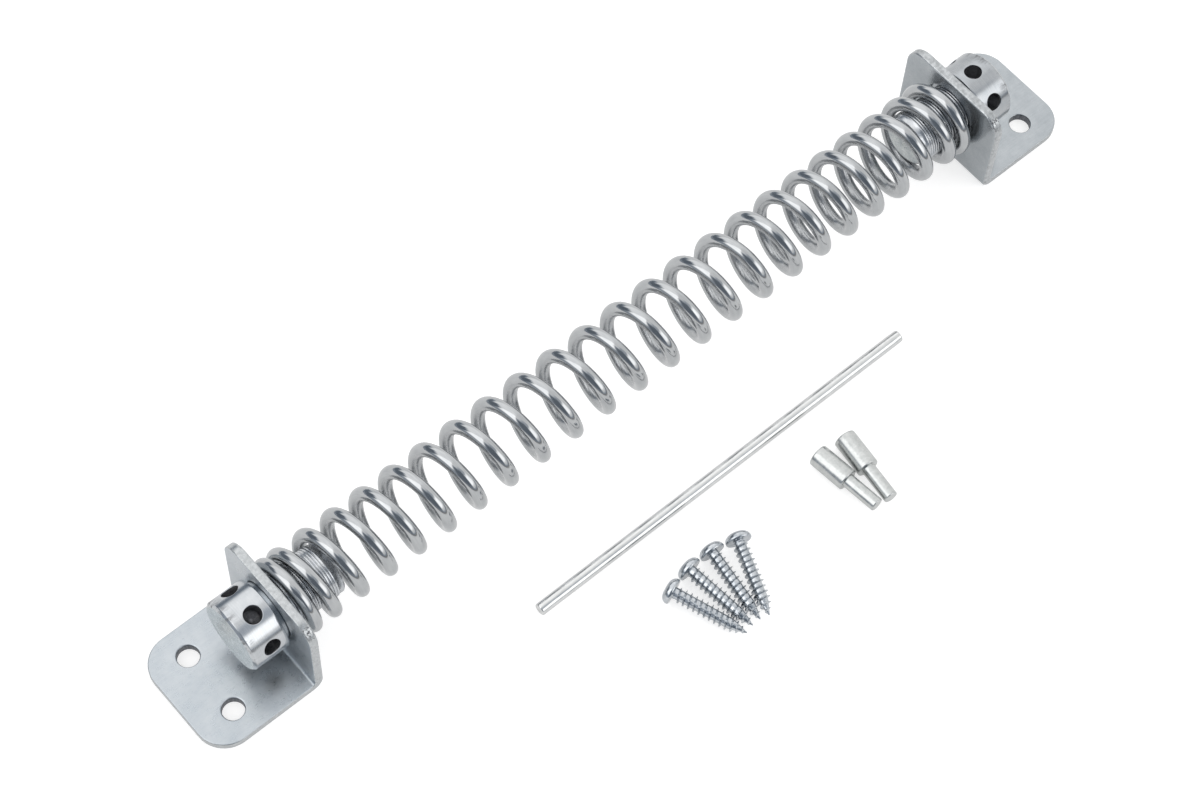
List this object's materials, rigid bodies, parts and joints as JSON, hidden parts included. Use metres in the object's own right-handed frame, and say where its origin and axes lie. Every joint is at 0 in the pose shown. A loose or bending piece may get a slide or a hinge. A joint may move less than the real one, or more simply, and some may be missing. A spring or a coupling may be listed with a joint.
{
  "type": "gate spring closer",
  "caption": "Gate spring closer: a zinc plated torsion spring between two steel L brackets, held by tension plugs with drilled heads, with tommy bar, stop pins and screws",
  "frame": {"origin": "midway between the left bracket's two screw holes, on the face that lies against the post", "axes": "+X along the spring's axis from the left bracket to the right one, +Y across the brackets, +Z out from the mounting faces towards the spring"},
  "size_m": [0.341, 0.1072, 0.0353],
  "materials": {
    "zinc_plate": "bright zinc plated pressed steel, satin, cool silver grey",
    "turned_zinc": "bright zinc plated turned steel, glossy round the sides and satin on the end face",
    "spring_wire": "bright zinc plated spring wire, glossy",
    "zinc_rod": "bright zinc plated rod, semi gloss",
    "screw_zinc": "bright zinc plated screw, glossy"
  },
  "bodies": {
    "left_bracket": {"left_bracket": "zinc_plate"},
    "left_plug": {"left_plug": "turned_zinc", "spring": "spring_wire"},
    "right_plug": {"right_plug": "turned_zinc"},
    "right_bracket": {"right_bracket": "zinc_plate"},
    "tommy_bar": {"tommy_bar": "zinc_rod"},
    "stop_pin_1": {"stop_pin_1": "zinc_rod"},
    "stop_pin_2": {"stop_pin_2": "zinc_rod"},
    "screw_1": {"screw_1": "screw_zinc"},
    "screw_2": {"screw_2": "screw_zinc"},
    "screw_3": {"screw_3": "screw_zinc"},
    "screw_4": {"screw_4": "screw_zinc"}
  },
  "joints": [
    {"name": "left_plug_turn", "type": "hinge", "parent": "left_bracket", "child": "left_plug", "pos_m": [0.0241, 0, 0.0215], "axis": [1, 0, 0], "continuous": true},
    {"name": "spring_wind", "type": "hinge", "parent": "left_plug", "child": "right_plug", "pos_m": [0.1582, 0, 0.0215], "axis": [1, 0, 0], "range_deg": [0, 180], "stiffness_Nm_per_rad": 2.27, "deforming": ["spring"]},
    {"name": "right_bracket_turn", "type": "hinge", "parent": "right_plug", "child": "right_bracket", "pos_m": [0.2923, 0, 0.0215], "axis": [1, 0, 0], "continuous": true},
    {"name": "tommy_bar_lift", "type": "slide", "parent": "left_bracket", "child": "tommy_bar", "axis": [0, 0, 1], "range_m": [0, 0.05]},
    {"name": "stop_pin_1_lift", "type": "slide", "parent": "left_bracket", "child": "stop_pin_1", "axis": [0, 0, 1], "range_m": [0, 0.05]},
    {"name": "stop_pin_2_lift", "type": "slide", "parent": "left_bracket", "child": "stop_pin_2", "axis": [0, 0, 1], "range_m": [0, 0.05]},
    {"name": "screw_1_lift", "type": "slide", "parent": "left_bracket", "child": "screw_1", "axis": [0, 0, 1], "range_m": [0, 0.05]},
    {"name": "screw_2_lift", "type": "slide", "parent": "left_bracket", "child": "screw_2", "axis": [0, 0, 1], "range_m": [0, 0.05]},
    {"name": "screw_3_lift", "type": "slide", "parent": "left_bracket", "child": "screw_3", "axis": [0, 0, 1], "range_m": [0, 0.05]},
    {"name": "screw_4_lift", "type": "slide", "parent": "left_bracket", "child": "screw_4", "axis": [0, 0, 1], "range_m": [0, 0.05]}
  ]
}
